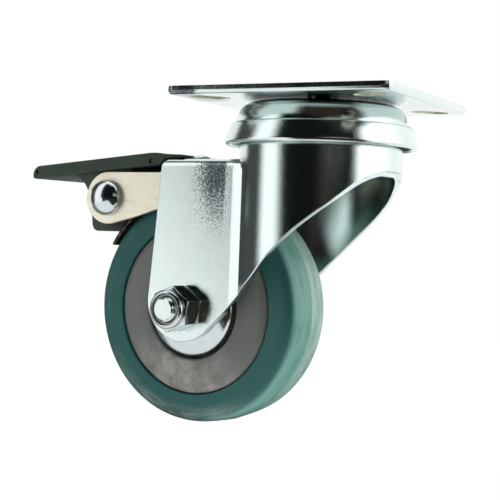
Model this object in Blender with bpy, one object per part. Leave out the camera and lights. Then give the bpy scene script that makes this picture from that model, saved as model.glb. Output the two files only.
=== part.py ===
"""Swivel castor with a top plate, a rocker-pedal foot brake and a 75 mm elastic rubber wheel.

Frame: origin at the middle of the top plate's mounting face, on the swivel axis. +Z is up,
the axle lies along Y, and the wheel trails towards -X, where the brake pedal is.
"""

import math

import bmesh
import bpy
from mathutils import Matrix, Vector

MM = 0.001
GAP = 0.3                     # seating gap between two touching pieces

# Driving dimensions, in millimetres
PLATE_SIDE = 72.0
PLATE_T = 2.5
PLATE_CORNER_R = 2.5
PLATE_TURN = math.radians(3.4)  # the head stands slightly turned on its swivel
SLOT_CENTRE = 26.0            # slot centre from the plate's middle, along each side
SLOT_LENGTH = 13.0
SLOT_WIDTH = 6.8
PIN_R = 5.0                   # king pin
PIN_HEAD_R = 8.0
CUP_R = 27.0                  # upper race cup, outside
RING_TOP_R = 28.7             # dust ring, outside
RING_BOTTOM_R = 30.2
RING_TOP_Z = -9.3
RING_BOTTOM_Z = -16.1
SHEET = 2.3                   # fork sheet
CROWN_R = 25.5
CROWN_TOP_Z = -10.3
FORK_HALF = 18.0              # half width over the fork's legs
FORK_WEB_Z = -20.4            # top of the web between the legs
AXLE_X = -38.6
AXLE_Z = -68.0
TYRE_R = 37.5
RIM_R = 27.6                  # joint between tyre and hub
HUB_RECESS_R = 16.6
CAP_R = 15.5
BOLT_R = 4.0
NUT_FLATS = 13.0
BEARING_R = 14.0
BEARING_T = 8.0
SLEEVE_R = 6.0
PIVOT_X = -71.1               # pedal pivot
PIVOT_Z = -33.3
RIVET_R = 3.0
RIVET_HEAD_R = 5.9
CHEEK_OUT = 15.4              # brake bracket, half width outside
CHEEK_T = 1.8
BRACKET_WEB_Z = -23.3         # top of the bracket's web, under the fork's
CHEEK_END_R = 8.6
PEDAL_HALF = 15.5
PEDAL_TIP_X = -103.3
PEDAL_T = 4.2
PEDAL_SLOPE = math.radians(5.5)
PEDAL_TRAVEL = math.radians(14)
SHOE_HALF = 9.0
SHOE_T = 1.2
SHOE_IN_R = 38.5              # inner face of the shoe, about the axle
SHOE_TRAVEL_MM = 0.5          # how far the cam presses the shoe in
HINGE_X = -53.5               # where the shoe leaf bends, under its rivets
HINGE_Z = -27.4
WEB_RIVET_X = -37.6
WEB_RIVET_Y = 10.0

ROUND = 40                    # segments on large round pieces
SMALL = 20                    # segments on small round pieces


# ---------------------------------------------------------------- helpers

def arc(cx, cy, radius, start, end, steps):
    """Points on an arc, angles in degrees."""
    points = []
    for i in range(steps + 1):
        angle = math.radians(start + (end - start) * i / steps)
        points.append((cx + radius * math.cos(angle), cy + radius * math.sin(angle)))
    return points


def spline(points, steps):
    """A smooth curve through the points (centripetal ends repeat)."""
    out = []
    last = len(points) - 1
    for i in range(last):
        p0 = Vector(points[max(i - 1, 0)])
        p1 = Vector(points[i])
        p2 = Vector(points[i + 1])
        p3 = Vector(points[min(i + 2, last)])
        for s in range(steps):
            t = s / steps
            a = 2 * p1 + (p2 - p0) * t
            b = (2 * p0 - 5 * p1 + 4 * p2 - p3) * t * t
            c = (3 * p1 - p0 - 3 * p2 + p3) * t * t * t
            point = 0.5 * (a + b + c)
            out.append((point.x, point.y))
    out.append(tuple(points[-1]))
    return out


def revolve(profile, segments, closed=True):
    """Turn a profile of (radius, height) about Z. An open profile starts and ends on the axis."""
    bm = bmesh.new()
    columns = []
    poles = {}
    for s in range(segments):
        angle = 2 * math.pi * s / segments
        column = []
        for i, (r, h) in enumerate(profile):
            if r == 0:
                if i not in poles:
                    poles[i] = bm.verts.new((0, 0, h))
                column.append(poles[i])
            else:
                column.append(bm.verts.new((r * math.cos(angle), r * math.sin(angle), h)))
        columns.append(column)
    count = len(profile)
    spans = count if closed else count - 1
    for s in range(segments):
        a = columns[s]
        b = columns[(s + 1) % segments]
        for i in range(spans):
            j = (i + 1) % count
            corners = []
            for vert in (a[i], b[i], b[j], a[j]):
                if vert not in corners:
                    corners.append(vert)
            bm.faces.new(corners)
    return bm


def extrude(outline, low, high):
    """A prism along Z from a closed outline."""
    bm = bmesh.new()
    bottom = [bm.verts.new((x, y, low)) for x, y in outline]
    top = [bm.verts.new((x, y, high)) for x, y in outline]
    bm.faces.new(bottom)
    bm.faces.new(top)
    count = len(outline)
    for i in range(count):
        j = (i + 1) % count
        bm.faces.new((bottom[i], bottom[j], top[j], top[i]))
    return bm


def side_prism(outline, half):
    """A prism along Y, both sides of the middle plane, from an outline in (x, z)."""
    bm = extrude(outline, -half, half)
    bm.transform(Matrix.Rotation(math.radians(90), 4, "X"))
    return bm


def across(bm, x=0.0, z=0.0):
    """Lay a piece that was turned about Z along Y, at (x, z)."""
    bm.transform(Matrix.Translation((x, 0, z)) @ Matrix.Rotation(math.radians(90), 4, "X"))
    return bm


def material(name, colour, roughness, metallic):
    made = bpy.data.materials.new(name)
    made.use_nodes = True
    shader = made.node_tree.nodes["Principled BSDF"]
    shader.inputs["Base Color"].default_value = (*colour, 1.0)
    shader.inputs["Roughness"].default_value = roughness
    shader.inputs["Metallic"].default_value = metallic
    return made


def empty(name, location, parent=None):
    point = bpy.data.objects.new(name, None)
    point.location = Vector(location) * MM
    if parent:
        point.parent = parent
        point.location -= parent.location
    bpy.context.collection.objects.link(point)
    return point


def add(name, bm, colour, axis, base=(0, 0, 0)):
    """Make an object from a bmesh in millimetres, held by the empty on its joint's axis."""
    bmesh.ops.recalc_face_normals(bm, faces=bm.faces)
    bm.transform(Matrix.Scale(MM, 4) @ Matrix.Translation(-Vector(base)))
    mesh = bpy.data.meshes.new(name)
    bm.to_mesh(mesh)
    bm.free()
    mesh.shade_smooth()
    mesh.set_sharp_from_angle(angle=math.radians(35))
    obj = bpy.data.objects.new(name, mesh)
    if colour:
        mesh.materials.append(colour)
    obj.parent = axis
    bpy.context.collection.objects.link(obj)
    return obj


def combine(obj, bm, operation, base=(0, 0, 0)):
    """Boolean a bmesh in millimetres into an object, as a hidden guide."""
    guide = add(f"{obj.name}_guide_{len(obj.modifiers)}", bm, None, obj.parent, base)
    guide.hide_render = True
    guide.display_type = "WIRE"
    modifier = obj.modifiers.new(guide.name, "BOOLEAN")
    modifier.operation = operation
    modifier.solver = "EXACT"
    modifier.object = guide


def cylinder(radius, low, high, segments=SMALL):
    return revolve([(0, high), (radius, high), (radius, low), (0, low)], segments, closed=False)


def move(bm, x=0.0, y=0.0, z=0.0):
    bm.transform(Matrix.Translation((x, y, z)))
    return bm


# ---------------------------------------------------------------- head

def plate_outline():
    half = PLATE_SIDE / 2 - PLATE_CORNER_R
    points = []
    for start, sx, sy in ((0, 1, 1), (90, -1, 1), (180, -1, -1), (270, 1, -1)):
        points += arc(sx * half, sy * half, PLATE_CORNER_R, start, start + 90, 4)
    return points


def slot_outline():
    """A slot along X about the origin."""
    half = (SLOT_LENGTH - SLOT_WIDTH) / 2
    end = arc(half, 0, SLOT_WIDTH / 2, -90, 90, 6)
    return end + [(-x, -y) for x, y in end]


def make_top_plate(zinc, axis):
    bm = extrude(plate_outline(), -PLATE_T, 0)
    bm.transform(Matrix.Rotation(PLATE_TURN, 4, "Z"))
    plate = add("top_plate", bm, zinc, axis)
    reach = SLOT_CENTRE * math.sqrt(2)
    for quarter in range(4):
        slot = move(extrude(slot_outline(), -PLATE_T - 1, 1), x=reach)
        angle = PLATE_TURN + math.radians(45 + 90 * quarter)
        slot.transform(Matrix.Rotation(angle, 4, "Z"))
        combine(plate, slot, "DIFFERENCE")
    low_r = PIN_R + GAP
    wide = PIN_HEAD_R + GAP
    slope = (wide - low_r) / PLATE_T
    sink = [(0, 1), (wide + slope, 1), (low_r - slope, -PLATE_T - 1), (0, -PLATE_T - 1)]
    combine(plate, revolve(sink, SMALL, closed=False), "DIFFERENCE")


def make_king_pin(steel, axis):
    """Countersunk above, peened below, with a flush flat head."""
    profile = [(0, 0), (PIN_HEAD_R, 0), (PIN_R, -PLATE_T), (PIN_R, -19.6), (7.6, -19.6)]
    profile += arc(5.6, -20.4, 2.0, 0, -90, 3)
    profile += [(0, -22.4)]
    add("king_pin", revolve(profile, SMALL, closed=False), steel, axis)


def make_upper_race(zinc, axis):
    """Pressed cup under the plate, whose inner shoulder is the upper ball race."""
    top = -PLATE_T - GAP
    wall = 1.9
    outer = arc(CUP_R - 4.6, top - 4.4, 4.4, 90, 4, 5)
    inner = arc(CUP_R - 4.6, top - 4.4, 4.4 - wall, 4, 90, 3)
    profile = [(PIN_R + GAP, top)] + outer + [(CUP_R + 0.1, -10.0), (CUP_R - wall, -10.0)]
    profile += inner + [(PIN_R + GAP, top - wall)]
    add("upper_race", revolve(profile, ROUND), zinc, axis)


def make_dust_ring(zinc, axis):
    """Flared ring that is crimped on the cup and shields the upper balls."""
    wall = 1.0
    profile = [(CUP_R + 0.4, RING_TOP_Z), (RING_TOP_R - 0.5, RING_TOP_Z)]
    profile += [(RING_TOP_R, RING_TOP_Z - 0.5)]
    profile += arc(RING_BOTTOM_R - 1.0, RING_BOTTOM_Z + 1.0, 1.0, 0, -90, 2)
    profile += [(CROWN_R + 0.8, RING_BOTTOM_Z), (CROWN_R + 0.8, RING_BOTTOM_Z + wall)]
    profile += [(RING_BOTTOM_R - 1.2, RING_BOTTOM_Z + wall), (RING_TOP_R - wall, RING_TOP_Z - 1.3)]
    profile += [(CUP_R + 0.4, RING_TOP_Z - 1.0)]
    add("dust_ring", revolve(profile, ROUND), zinc, axis)


def make_lower_race(zinc, axis):
    """Dished washer on the king pin's foot that carries the lower balls."""
    profile = [(PIN_R + GAP, -17.4), (13.2, -17.4), (14.4, -16.2), (14.4, -14.2), (16.0, -14.2)]
    profile += [(16.0, -16.8), (13.9, -19.3), (PIN_R + GAP, -19.3)]
    add("lower_race", revolve(profile, SMALL), zinc, axis)


def ball_row(name, steel, axis, count, ball_r, pitch_r, height, lay=None, base=(0, 0, 0)):
    """A row of balls held by a thin wire cage through their middles."""
    cage = revolve([(pitch_r + x, y) for x, y in arc(0, 0, ball_r * 0.3, 0, 270, 3)], 3 * count)
    balls = bmesh.new()
    for i in range(count):
        angle = 2 * math.pi * i / count
        place = Matrix.Translation((pitch_r * math.cos(angle), pitch_r * math.sin(angle), 0))
        bmesh.ops.create_icosphere(balls, subdivisions=1, radius=ball_r, matrix=place)
    for bm in (cage, balls):
        move(bm, z=height)
        if lay:
            across(bm, *lay)
    row = add(name, cage, steel, axis, base)
    combine(row, balls, "UNION", base)


# ---------------------------------------------------------------- fork

def fork_side_outline():
    """The fork seen from the side, in (x, z): crown, sloping lower edge, foot and leg."""
    points = [(CROWN_R + 2, CROWN_TOP_Z + 2), (CROWN_R + 2, -23.1)]
    points += spline([(25.3, -23.2), (20.8, -26.7), (14.4, -33.1), (2.8, -43.1), (-5.0, -50.6),
                      (-10.6, -56.6), (-17.0, -62.0), (-23.3, -68.7)], 3)
    points += arc(-38.7, -65.6, 13.0, -38, -180, 10)
    points += [(-48.6, -30.6)]
    points += arc(-45.0, FORK_WEB_Z - 3.0, 3.1, 178, 90, 4)
    points += [(-30.0, FORK_WEB_Z + 0.1), (-30.0, CROWN_TOP_Z + 2)]
    return points


def crown_solid(radius, top):
    profile = [(0, top)] + arc(radius - 3.0, top - 3.0, 3.0, 90, 0, 4) + [(radius, -90), (0, -90)]
    return revolve(profile, ROUND, closed=False)


def leg_block(half, top, bend):
    """The space between and over the legs, with the bends along its upper edges."""
    section = [(-half, -95.0), (half, -95.0)]
    section += arc(half - bend, top - bend, bend, 0, 90, 4)
    section += arc(-half + bend, top - bend, bend, 90, 180, 4)
    bm = extrude(section, -70.0, -8.0)
    turn = Matrix(((0, 0, 1, 0), (1, 0, 0, 0), (0, 1, 0, 0), (0, 0, 0, 1)))
    bm.transform(turn)
    return bm


def blend_outline(side):
    """Plan of the hollow blend between a leg and the round crown."""
    radius = 8.0
    reach = CROWN_R + radius
    cy = FORK_HALF + radius
    cx = -math.sqrt(reach * reach - cy * cy)
    end = math.degrees(math.atan2(-cy, -cx))
    points = arc(cx, cy, radius, -90, end, 5)
    points += [(points[-1][0] + 1.5, points[-1][1] - 3.0), (cx, FORK_HALF - 1.2)]
    return [(x, side * y) for x, y in points]


def make_fork(zinc, axis):
    fork = add("fork", crown_solid(CROWN_R, CROWN_TOP_Z), zinc, axis)
    combine(fork, leg_block(FORK_HALF, FORK_WEB_Z, 3.0), "UNION")
    for side in (1, -1):
        combine(fork, extrude(blend_outline(side), -80.0, FORK_WEB_Z - 3.2), "UNION")
    combine(fork, crown_solid(CROWN_R - SHEET, CROWN_TOP_Z - SHEET), "DIFFERENCE")
    inside = leg_block(FORK_HALF - SHEET, FORK_WEB_Z - SHEET, 0.8)
    inside.transform(Matrix.Translation((-2.0, 0, 0)))
    combine(fork, inside, "DIFFERENCE")
    combine(fork, side_prism(fork_side_outline(), 40.0), "INTERSECT")
    combine(fork, cylinder(PIN_R + 1.0, -30.0, 0.0), "DIFFERENCE")
    combine(fork, across(cylinder(BOLT_R + GAP, -30.0, 30.0), AXLE_X, AXLE_Z), "DIFFERENCE")
    for side in (1, -1):
        hole = move(cylinder(1.9, -30.0, -15.0, 12), WEB_RIVET_X, side * WEB_RIVET_Y)
        combine(fork, hole, "DIFFERENCE")


# ---------------------------------------------------------------- wheel

def tyre_profile():
    """Half of the tyre from its tread's middle to the rim, in (radius, distance from middle)."""
    half = [(TYRE_R, 0.0), (TYRE_R - 0.2, 6.0), (TYRE_R - 0.6, 8.8), (36.4, 10.3)]
    half += [(35.6, 11.0), (34.0, 11.4), (RIM_R + GAP, 11.3)]
    return half


def make_tyre(rubber, axis, base):
    half = tyre_profile()
    profile = half + [(r, -y) for r, y in reversed(half[1:])]
    add("tyre", across(revolve(profile, ROUND + 8), AXLE_X, AXLE_Z), rubber, axis, base)


def make_hub(nylon, axis, base):
    """Moulded core with a recessed face and a seat for a bearing on each side."""
    seat = BEARING_R + GAP
    half = [(RIM_R, 0.0), (RIM_R, 10.6), (RIM_R - 0.4, 11.2), (RIM_R - 1.9, 11.5)]
    half += [(HUB_RECESS_R + 0.8, 12.3), (HUB_RECESS_R, 11.9), (HUB_RECESS_R, 10.9)]
    half += [(seat, 10.9), (seat, 2.4), (9.0, 2.4), (9.0, 0.0)]
    profile = half + [(r, -y) for r, y in reversed(half[1:-1])]
    add("hub", across(revolve(profile, ROUND), AXLE_X, AXLE_Z), nylon, axis, base)


def make_bearing(side, label, steel, wheel, fork, balls, base):
    """One deep-groove bearing: outer ring, inner ring and caged balls."""
    mid = side * (10.8 - BEARING_T / 2)
    low = mid - BEARING_T / 2
    high = mid + BEARING_T / 2
    groove = 0.5
    step = 2.0
    outer = [(BEARING_R, low), (BEARING_R, high), (12.2, high), (12.2, mid + step)]
    outer += [(12.2 + groove, mid + 1.0), (12.2 + groove, mid - 1.0), (12.2, mid - step), (12.2, low)]
    bm = across(revolve(outer, SMALL + 8), AXLE_X, AXLE_Z)
    add(f"bearing_outer_{label}", bm, steel, wheel, base)
    inner = [(8.1, low), (8.1, mid - step), (8.1 - groove, mid - 1.0), (8.1 - groove, mid + 1.0)]
    inner += [(8.1, mid + step), (8.1, high), (SLEEVE_R + GAP, high), (SLEEVE_R + GAP, low)]
    bm = across(revolve(inner, SMALL), AXLE_X, AXLE_Z)
    add(f"bearing_inner_{label}", bm, steel, fork)
    ball_row(f"bearing_balls_{label}", steel, balls, 7, 2.0, 10.15, mid, (AXLE_X, AXLE_Z), base)


def make_dust_cap(side, label, chrome, axis, base):
    """Pressed cover over the bearing: a skirt, a rolled rim and a shallow dome."""
    t = 0.7
    outer = [(CAP_R - 0.4, 11.2), (CAP_R, 12.6), (CAP_R - 0.4, 13.1), (12.6, 13.6), (10.0, 14.4)]
    outer += [(7.2, 14.7), (7.2, 14.7 - t)]
    inner = [(9.8, 14.4 - t), (12.4, 13.6 - t), (CAP_R - 1.1, 12.5), (CAP_R - 1.1, 11.2)]
    profile = [(r, -side * y) for r, y in outer + inner]
    bm = across(revolve(profile, ROUND - 8), AXLE_X, AXLE_Z)
    add(f"dust_cap_{label}", bm, chrome, axis, base)


def make_sleeve(steel, axis):
    half = FORK_HALF - SHEET - GAP
    ring = [(SLEEVE_R, -half), (SLEEVE_R, half), (BOLT_R + GAP, half), (BOLT_R + GAP, -half)]
    add("axle_sleeve", across(revolve(ring, SMALL), AXLE_X, AXLE_Z), steel, axis)


def hexagon(flats):
    radius = flats / math.sqrt(3)
    return [(x, y) for x, y in arc(0, 0, radius, 22, 322, 5)]


def make_bolt(zinc, axis):
    """Axle bolt: hexagon head on the far side, plain shank, threaded end on the near side."""
    head = FORK_HALF + GAP
    bolt = across(cylinder(BOLT_R, -head - 1.0, 28.3), AXLE_X, AXLE_Z)
    obj = add("axle_bolt", bolt, zinc, axis)
    bm = across(extrude(hexagon(NUT_FLATS), -head - 5.3, -head), AXLE_X, AXLE_Z)
    combine(obj, bm, "UNION")


def make_nut(zinc, nylon, axis):
    """Lock nut with a round collar that holds a nylon ring."""
    seat = FORK_HALF + GAP
    nut = add("lock_nut", across(extrude(hexagon(NUT_FLATS), seat, 25.0), AXLE_X, AXLE_Z), zinc, axis)
    collar = [(0, 24.0), (6.1, 24.0), (6.1, 25.6), (5.7, 27.0), (5.0, 27.3), (0, 27.3)]
    combine(nut, across(revolve(collar, SMALL, closed=False), AXLE_X, AXLE_Z), "UNION")
    combine(nut, across(cylinder(BOLT_R + GAP, 10.0, 30.0), AXLE_X, AXLE_Z), "DIFFERENCE")
    combine(nut, across(cylinder(5.2, 25.2, 30.0), AXLE_X, AXLE_Z), "DIFFERENCE")
    ring = [(BOLT_R + 0.15, 25.5), (5.0, 25.5), (5.0, 26.9), (BOLT_R + 0.15, 26.9)]
    add("nut_insert", across(revolve(ring, SMALL), AXLE_X, AXLE_Z), nylon, axis)


# ---------------------------------------------------------------- brake

def cheek_outline():
    """Side of the brake bracket in (x, z): round nose about the pivot, then back into the fork."""
    nose = arc(PIVOT_X, PIVOT_Z, CHEEK_END_R, 90, 290, 14)
    rear = [(-50.5, -36.5), (-36.0, -33.0), (-33.5, -30.0), (-33.5, BRACKET_WEB_Z)]
    return nose + rear + [(-48.5, BRACKET_WEB_Z), (-50.5, -24.7)]


def make_bracket(passivated, axis):
    """Channel that is riveted under the fork's web, with a cheek on each side of the pedal's hub."""
    bracket = add("brake_bracket", side_prism(cheek_outline(), CHEEK_OUT), passivated, axis)
    gap = CHEEK_OUT - CHEEK_T
    ceiling = BRACKET_WEB_Z - CHEEK_T
    under = [(-90.0, -50.0), (-20.0, -50.0), (-20.0, ceiling), (-48.0, ceiling), (-50.0, -26.5)]
    under += [(-60.5, -26.5), (-60.5, -15.0), (-90.0, -15.0)]
    combine(bracket, side_prism(under, gap), "DIFFERENCE")
    pivot = across(cylinder(RIVET_R + 0.2, -20.0, 20.0), PIVOT_X, PIVOT_Z)
    combine(bracket, pivot, "DIFFERENCE")
    for side in (1, -1):
        web = move(cylinder(1.9, -30.0, -15.0, 12), WEB_RIVET_X, side * WEB_RIVET_Y)
        combine(bracket, web, "DIFFERENCE")
        leaf = move(cylinder(1.8, -30.0, -15.0, 12), HINGE_X, side * 5.0)
        combine(bracket, leaf, "DIFFERENCE")


def rivet(head_r, head_h, shank_r, top, bottom, tail_r, tail_h):
    """A rivet along Z: domed head above, flat tail below."""
    profile = [(0, top + head_h)]
    profile += [(head_r * math.sin(a), top + head_h * math.cos(a)) for a in (0.5, 1.0, 1.57)]
    profile += [(shank_r, top), (shank_r, bottom), (tail_r, bottom)]
    profile += [(tail_r * 0.8, bottom - tail_h), (0, bottom - tail_h)]
    return revolve(profile, 16, closed=False)


def make_rivets(zinc, axis):
    for side, label in ((-1, "near"), (1, "far")):
        bm = rivet(3.0, 1.3, 1.6, FORK_WEB_Z + GAP, BRACKET_WEB_Z - CHEEK_T - GAP, 2.6, 0.8)
        add(f"bracket_rivet_{label}", move(bm, WEB_RIVET_X, side * WEB_RIVET_Y), zinc, axis)
        bm = rivet(2.6, 1.0, 1.5, -24.5, -28.5, 2.4, 0.8)
        add(f"shoe_rivet_{label}", move(bm, HINGE_X, side * 5.0), zinc, axis)


def make_pivot_pin(chrome, axis):
    """Pin through both cheeks and the pedal's hub, with a domed head on each side."""
    seat = CHEEK_OUT + GAP
    half = [(RIVET_HEAD_R, seat), (RIVET_HEAD_R, seat + 0.7)]
    half += [(RIVET_HEAD_R * math.cos(a), seat + 0.7 + 3.1 * math.sin(a)) for a in (0.35, 0.7, 1.1)]
    half += [(0, seat + 3.8)]
    profile = [(r, -y) for r, y in reversed(half)] + [(RIVET_R, -seat), (RIVET_R, seat)] + half
    bm = across(revolve(profile, SMALL, closed=False), PIVOT_X, PIVOT_Z)
    add("pivot_pin", bm, chrome, axis)


def shoe_angle(radius, x):
    """Angle about the axle, in degrees, where the circle of that radius passes over x."""
    return math.degrees(math.acos((x - AXLE_X) / radius))


def make_shoe(spring_steel, axis, base):
    """Leaf of spring steel: riveted root, bend, and a curved end that follows the tread."""
    out_r = SHOE_IN_R + SHOE_T
    top = HINGE_Z + SHOE_T / 2
    outer = arc(AXLE_X, AXLE_Z, out_r, shoe_angle(out_r, -61.0), 151, 8)
    inner = arc(AXLE_X, AXLE_Z, SHOE_IN_R, 150.5, shoe_angle(SHOE_IN_R, -60.0), 8)
    root = [(-57.0, top - SHOE_T), (-50.0, top - SHOE_T), (-50.0, top), (-57.5, top)]
    bm = side_prism(outer + inner + root, SHOE_HALF)
    shoe = add("brake_shoe", bm, spring_steel, axis, base)
    for side in (1, -1):
        hole = move(cylinder(1.9, -32.0, -22.0, 12), HINGE_X, side * 5.0)
        combine(shoe, hole, "DIFFERENCE", base)


def reach_to_shoe(angle, radius):
    """Distance from the pivot to the circle about the axle, along a direction in degrees."""
    d = Vector((math.cos(math.radians(angle)), math.sin(math.radians(angle))))
    w = Vector((AXLE_X - PIVOT_X, AXLE_Z - PIVOT_Z))
    b = w.dot(d)
    rest = b * b - (w.length_squared - radius * radius)
    return b - math.sqrt(rest) if rest > 0 and b > 0 else 99.0


def cam_outline():
    """Cam face round the pivot: as large as the shoe allows both at rest and pressed."""
    out_r = SHOE_IN_R + SHOE_T
    points = []
    for angle in range(20, -89, -6):
        at_rest = reach_to_shoe(angle, out_r + 0.35)
        pressed = reach_to_shoe(angle + math.degrees(PEDAL_TRAVEL), out_r - SHOE_TRAVEL_MM + 0.35)
        reach = min(at_rest, pressed, 8.4 if angle > -60 else 11.2)
        x = PIVOT_X + reach * math.cos(math.radians(angle))
        z = max(PIVOT_Z + reach * math.sin(math.radians(angle)), -44.4)
        points.append((x, z))
    return points


def pedal_under(x):
    """Height of the pedal's lower face."""
    return -27.3 + (x - PEDAL_TIP_X) * math.tan(PEDAL_SLOPE)


def make_pedal(moulding, axis, base):
    """Rocker pedal: a tread plate with a rear lip over the fork, and a hub with a cam below."""
    top = PEDAL_T / math.cos(PEDAL_SLOPE)
    tip = [(PEDAL_TIP_X + 0.6, pedal_under(PEDAL_TIP_X)), (PEDAL_TIP_X, pedal_under(PEDAL_TIP_X) + 0.7)]
    tip += arc(PEDAL_TIP_X + 3.2, pedal_under(PEDAL_TIP_X + 3.2) + top - 3.2, 3.2, 180, 100, 4)
    rear = [(-54.0, pedal_under(-54.0) + top), (-51.5, -18.4), (-47.8, -18.8), (-41.6, -19.5)]
    rear += [(-41.6, -20.0), (-48.6, -20.0), (-50.8, pedal_under(-50.8))]
    pedal = add("pedal", side_prism(tip + rear, PEDAL_HALF), moulding, axis, base)
    hub = [(-88.0, pedal_under(-88.0) + 1.5)]
    hub += arc(-88.0, -34.0, 8.0, 85, 12, 5)
    hub += [(-79.0, -36.0), (-78.0, -41.5), (-77.0, -43.8), (-76.0, -44.4)]
    hub += list(reversed(cam_outline()))
    hub += [(-62.6, -29.0), (-62.6, pedal_under(-62.6) + 1.5)]
    half = CHEEK_OUT - CHEEK_T - GAP
    combine(pedal, side_prism(hub, half), "UNION", base)
    bore = across(cylinder(RIVET_R + GAP, -20.0, 20.0), PIVOT_X, PIVOT_Z)
    combine(pedal, bore, "DIFFERENCE", base)


# ---------------------------------------------------------------- build

def main():
    for obj in list(bpy.data.objects):
        bpy.data.objects.remove(obj)
    zinc = material("bright_zinc", (0.80, 0.85, 0.85), 0.22, 1.0)
    chrome = material("bright_chrome", (0.86, 0.88, 0.88), 0.12, 1.0)
    steel = material("bearing_steel", (0.62, 0.63, 0.64), 0.3, 1.0)
    spring_steel = material("dark_spring_steel", (0.12, 0.12, 0.12), 0.4, 1.0)
    passivated = material("cream_passivated_steel", (0.89, 0.82, 0.62), 0.35, 0.6)
    rubber = material("green_rubber", (0.05, 0.16, 0.14), 0.55, 0.0)
    nylon = material("grey_nylon", (0.19, 0.20, 0.19), 0.5, 0.0)
    moulding = material("olive_moulding", (0.05, 0.07, 0.055), 0.42, 0.0)
    insert = material("white_nylon", (0.75, 0.76, 0.72), 0.4, 0.0)

    head = empty("head", (0, 0, 0))
    swivel = empty("swivel_axis", (0, 0, 0))
    axle = (AXLE_X, 0, AXLE_Z)
    pivot = (PIVOT_X, 0, PIVOT_Z)
    bend = (HINGE_X, 0, HINGE_Z)
    wheel_axis = empty("wheel_axis", axle, swivel)
    pedal_axis = empty("pedal_axis", pivot, swivel)
    shoe_axis = empty("shoe_axis", bend, swivel)

    make_top_plate(zinc, head)
    make_king_pin(steel, head)
    make_upper_race(zinc, head)
    make_dust_ring(zinc, head)
    make_lower_race(zinc, head)
    ball_row("upper_balls", steel, swivel, 18, 2.4, 20.6, -7.3)
    ball_row("lower_balls", steel, swivel, 12, 1.9, 10.6, -15.1)

    make_fork(zinc, swivel)
    make_bracket(passivated, swivel)
    make_rivets(zinc, swivel)
    make_pivot_pin(chrome, swivel)
    make_sleeve(steel, swivel)
    make_bolt(zinc, swivel)
    make_nut(zinc, insert, swivel)

    make_tyre(rubber, wheel_axis, axle)
    make_hub(nylon, wheel_axis, axle)
    for side, label in ((1, "near"), (-1, "far")):
        make_bearing(side, label, steel, wheel_axis, swivel, wheel_axis, axle)
        make_dust_cap(-side, label, chrome, wheel_axis, axle)

    make_pedal(moulding, pedal_axis, pivot)
    make_shoe(spring_steel, shoe_axis, bend)


main()
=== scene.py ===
"""Looks of a swivel castor with a top plate and a rocker-pedal brake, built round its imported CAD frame.

Lengths are in millimetres and are scaled to metres when a mesh is made. The frame's origin is the middle
of the top plate's mounting face, +Z is up, the axle lies along Y and the wheel trails towards -X.
"""

import math

import bmesh
import bpy
import numpy as np
from mathutils import Matrix, Vector, noise


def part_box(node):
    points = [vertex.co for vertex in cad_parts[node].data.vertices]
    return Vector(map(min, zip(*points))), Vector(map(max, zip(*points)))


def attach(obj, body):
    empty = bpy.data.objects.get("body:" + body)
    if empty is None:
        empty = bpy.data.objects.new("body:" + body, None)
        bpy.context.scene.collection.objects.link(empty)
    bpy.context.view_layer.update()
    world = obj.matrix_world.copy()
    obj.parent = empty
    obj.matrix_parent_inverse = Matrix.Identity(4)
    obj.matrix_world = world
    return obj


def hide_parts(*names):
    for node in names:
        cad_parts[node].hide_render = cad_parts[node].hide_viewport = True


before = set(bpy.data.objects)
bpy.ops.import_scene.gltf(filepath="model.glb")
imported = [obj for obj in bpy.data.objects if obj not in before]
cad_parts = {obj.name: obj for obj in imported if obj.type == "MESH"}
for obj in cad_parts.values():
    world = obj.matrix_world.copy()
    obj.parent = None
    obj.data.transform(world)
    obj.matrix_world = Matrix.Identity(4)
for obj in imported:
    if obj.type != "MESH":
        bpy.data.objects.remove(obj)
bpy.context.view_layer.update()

MM = 0.001
GAP = 0.3  # seating gap that the CAD keeps between touching pieces


def middle(node):
    low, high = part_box(node)
    return (low + high) / 2 / MM


def extent(node):
    """Half of the node's box along each axis."""
    low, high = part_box(node)
    return (high - low) / 2 / MM


def low(node):
    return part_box(node)[0] / MM


def high(node):
    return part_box(node)[1] / MM


# Driving dimensions, read from the frame
AXLE_X, _, AXLE_Z = middle("tyre")
AXLE = (AXLE_X, AXLE_Z)
TYRE_R, TYRE_HALF, _ = extent("tyre")
RIM_R, HUB_HALF, _ = extent("hub")
BOLT_TIP_Y = low("axle_bolt").y
HEAD_TIP_Y = high("axle_bolt").y
NUT_TIP_Y = low("lock_nut").y
PIVOT_X, _, PIVOT_Z = middle("pivot_pin")
PIVOT = (PIVOT_X, PIVOT_Z)
RIVET_HEAD_R, PIN_TIP, _ = extent("pivot_pin")
CHEEK_OUT = extent("brake_bracket").y
BRACKET_WEB_Z = high("brake_bracket").z
PEDAL_HALF = extent("pedal").y
PEDAL_TIP_X = low("pedal").x
SHOE_HALF = extent("brake_shoe").y
CROWN_R = high("fork").x
CROWN_TOP_Z = high("fork").z
RING_BOTTOM_R = extent("dust_ring").x
RING_TOP_Z = high("dust_ring").z
RING_BOTTOM_Z = low("dust_ring").z
PIN_FOOT_Z = low("king_pin").z
PLATE_T = -low("top_plate").z

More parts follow.
